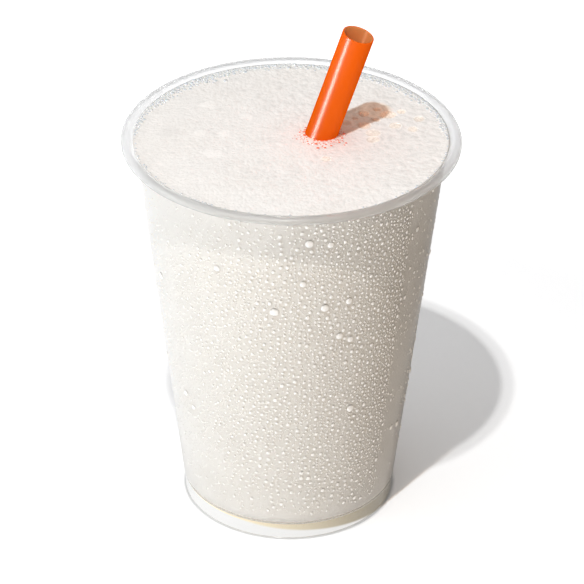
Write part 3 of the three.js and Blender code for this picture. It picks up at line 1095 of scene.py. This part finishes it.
def make_floor():
    """A pale table, which gives more light from the left, and what shows on it under the foot."""
    material, tree = new_material("pale_floor")
    place = put(tree, "ShaderNodeTexCoord")
    where = put(tree, "ShaderNodeSeparateXYZ", {0: place.outputs["Object"]})
    cloud = put(tree, "ShaderNodeTexNoise", {"Vector": place.outputs["Object"], "Scale": 3.0})
    seen = blend(tree, cloud.outputs[0], (1.17, 1.17, 1.17, 1.0), (1.15, 1.15, 1.15, 1.0))
    middle = put(tree, "ShaderNodeVectorMath", {0: place.outputs["Object"]}, operation="LENGTH")
    from_middle = middle.outputs["Value"]
    across = ramp(tree, where.outputs["X"], -TABLE_TURN * MM, TABLE_TURN * MM)
    contact = ramp(tree, from_middle, FOOT_RADIUS * MM, (FOOT_RADIUS + CONTACT_WIDTH) * MM)
    touched = blend(tree, contact, CONTACT_SHADE, seen)
    path = put(tree, "ShaderNodeLightPath")
    bounce = put(tree, "ShaderNodeClamp", {0: path.outputs["Diffuse Depth"]}).outputs[0]
    colour = blend(tree, bounce, touched, blend(tree, across, TABLE_LEFT, TABLE_RIGHT))
    shown = blend(tree, across, (0.9, 0.9, 0.9, 1.0), (0.30, 0.30, 0.30, 1.0))
    matt = put(tree, "ShaderNodeBsdfDiffuse", {"Color": blend(tree, mirrored(tree), colour, shown)})
    even = ramp(tree, across, 0.0, 1.0, *SHADOW_LIFT)
    left = ramp(tree, where.outputs["X"], -(RIM_RADIUS + 10) * MM, -(RIM_RADIUS - 20) * MM, LEFT_LIFT, 0.0)
    far = ramp(tree, from_middle, FAR_START * MM, FAR_END * MM, 0.0, FAR_LIFT)
    outer = put(tree, "ShaderNodeMath", {0: left, 1: far}, operation="ADD")
    lift = put(tree, "ShaderNodeMath", {0: even, 1: outer.outputs[0]}, operation="ADD").outputs[0]
    unbounced = ramp(tree, bounce, 0.0, 1.0, 1.0, 0.0)
    strength = put(tree, "ShaderNodeMath", {0: lift, 1: unbounced}, operation="MULTIPLY")
    glow = put(tree, "ShaderNodeEmission", {"Strength": strength.outputs[0]})
    open_table = put(tree, "ShaderNodeAddShader", {0: matt.outputs[0], 1: glow.outputs[0]})

    from_shade = put(tree, "ShaderNodeVectorMath", {
        0: place.outputs["Object"], 1: FOOT_SHADE_PLACE * MM,
    }, operation="DISTANCE").outputs["Value"]
    shaded = ramp(tree, from_shade, (FOOT_SHADE_RADIUS + 0.6) * MM, (FOOT_SHADE_RADIUS - 0.6) * MM)
    turn = ramp(tree, where.outputs["X"], -FOOT_RADIUS * MM, FOOT_RADIUS * MM)
    under = blend(tree, shaded, blend(tree, turn, *FOOT_LIGHT), blend(tree, turn, *FOOT_SHADE))
    under_glow = put(tree, "ShaderNodeEmission", {
        "Color": under, "Strength": ramp(tree, bounce, 0.0, 1.0, 1.0, 0.9),
    })
    in_foot = ramp(tree, from_middle, FOOT_RADIUS * MM, (FOOT_RADIUS - 0.5) * MM)
    shader = put(tree, "ShaderNodeMixShader", {
        0: in_foot, 1: open_table.outputs[0], 2: under_glow.outputs[0],
    })
    surface(tree, shader.outputs[0])
    size = TABLE_SIZE
    points = [(-size, -size, 0), (size, -size, 0), (size, size, 0), (-size, size, 0)]
    floor = new_piece("table_top", points, [(0, 1, 2, 3)], material, smooth=False)


def add_light(name, kind, place, target, **settings):
    light = bpy.data.lights.new(name, kind)
    for key, value in settings.items():
        setattr(light, key, value)
    lamp = bpy.data.objects.new(name, light)
    lamp.location = place * MM
    lamp.rotation_euler = (target - place).to_track_quat("-Z", "Y").to_euler()
    lamp.visible_camera = False
    bpy.context.scene.collection.objects.link(lamp)
    return lamp


def make_room():
    """The soft light all round, brighter and cooler on the left, and white behind the object."""
    world = bpy.data.worlds.new("soft_room")
    world.use_nodes = True
    tree = world.node_tree
    tree.nodes.clear()
    place = put(tree, "ShaderNodeTexCoord")
    where = put(tree, "ShaderNodeSeparateXYZ", {0: place.outputs["Generated"]})
    soft = blend(tree, ramp(tree, where.outputs["X"], -1.0, 1.0), ROOM_LEFT, ROOM_RIGHT)
    path = put(tree, "ShaderNodeLightPath")
    dim = blend(tree, mirrored(tree), soft, ROOM_MIRRORED)
    colour = blend(tree, path.outputs["Is Camera Ray"], dim, ROOM_SEEN)
    back = put(tree, "ShaderNodeBackground", {"Color": colour, "Strength": 1.0})
    put(tree, "ShaderNodeOutputWorld", {"Surface": back.outputs[0]})
    bpy.context.scene.world = world


def light_only(lamp, name, pieces):
    """Keep a lamp's light to some pieces."""
    group = bpy.data.collections.new(name)
    for piece in pieces:
        group.objects.link(piece)
    lamp.light_linking.receiver_collection = group


def make_lights(straw):
    """The key, and the straw's own sheen from the left and fill from the right."""
    add_light(
        "key", "POINT", KEY_PLACE, SHEEN_TARGET, energy=KEY_POWER, shadow_soft_size=KEY_RADIUS * MM,
    )
    sheen = add_light(
        "straw_sheen", "AREA", SHEEN_PLACE, SHEEN_TARGET,
        energy=SHEEN_POWER, shape="RECTANGLE", size=SHEEN_SIZE[0] * MM, size_y=SHEEN_SIZE[1] * MM,
    )
    sheen.visible_diffuse = False
    light_only(sheen, "only_straw", [straw])
    sheen.light_linking.blocker_collection = sheen.light_linking.receiver_collection
    fill = add_light(
        "straw_fill", "AREA", FILL_PLACE, SHEEN_TARGET,
        energy=FILL_POWER, shape="SQUARE", size=FILL_SIZE * MM,
    )
    fill.visible_glossy = False
    light_only(fill, "straw_from_right", [straw])


def make_camera():
    back = Vector((0, -math.cos(VIEW_ELEVATION), math.sin(VIEW_ELEVATION)))
    right = Vector((1, 0, 0))
    up = back.cross(right)
    x = right * math.cos(VIEW_ROLL) + up * math.sin(VIEW_ROLL)
    y = up * math.cos(VIEW_ROLL) - right * math.sin(VIEW_ROLL)
    camera = bpy.data.cameras.new("camera")
    camera.sensor_width = 36.0
    camera.lens = VIEW_LENS
    camera.clip_start = 0.05
    holder = bpy.data.objects.new("camera", camera)
    place = (VIEW_TARGET + back * VIEW_DISTANCE) * MM
    turn = Matrix((x, y, back)).transposed().to_4x4()
    holder.matrix_world = Matrix.Translation(place) @ turn
    bpy.context.scene.collection.objects.link(holder)
    bpy.context.scene.camera = holder


make_camera()
make_room()
make_floor()

scene = bpy.context.scene
scene.view_settings.view_transform = "Standard"
scene.cycles.transparent_max_bounces = 24
scene.cycles.max_bounces = 10
scene.cycles.transmission_bounces = 10

froth = make_froth()
cup = make_cup()
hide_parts("cup")
shake = make_milkshake(froth)
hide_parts("milkshake")
straw = make_straw()
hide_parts("straw")

wall_bubbles = place_bubbles(
    "wall_bubbles", wall_bubble_spots(), froth, 12, 4, 0.7, BUBBLE_SKIN,
    ((0.93, 0.93, 0.93), (0.58, 0.62, 0.64)),
)
straw_bubbles = place_bubbles(
    "straw_bubbles", straw_bubble_spots(), froth, 12, 4, 0.6, BUBBLE_SKIN,
    ((0.96, 0.82, 0.79), (0.92, 0.16, 0.05)),
)
broad_bubbles = place_bubbles(
    "broad_bubbles", BROWN_CELLS + BEIGE_CELLS, froth, 32, 7, 0.35, CLEAR_BUBBLE,
)
dew = make_dew()
make_lights(straw)
for piece in (cup, shake, straw, wall_bubbles, straw_bubbles, broad_bubbles, *dew):
    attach(piece, "root")
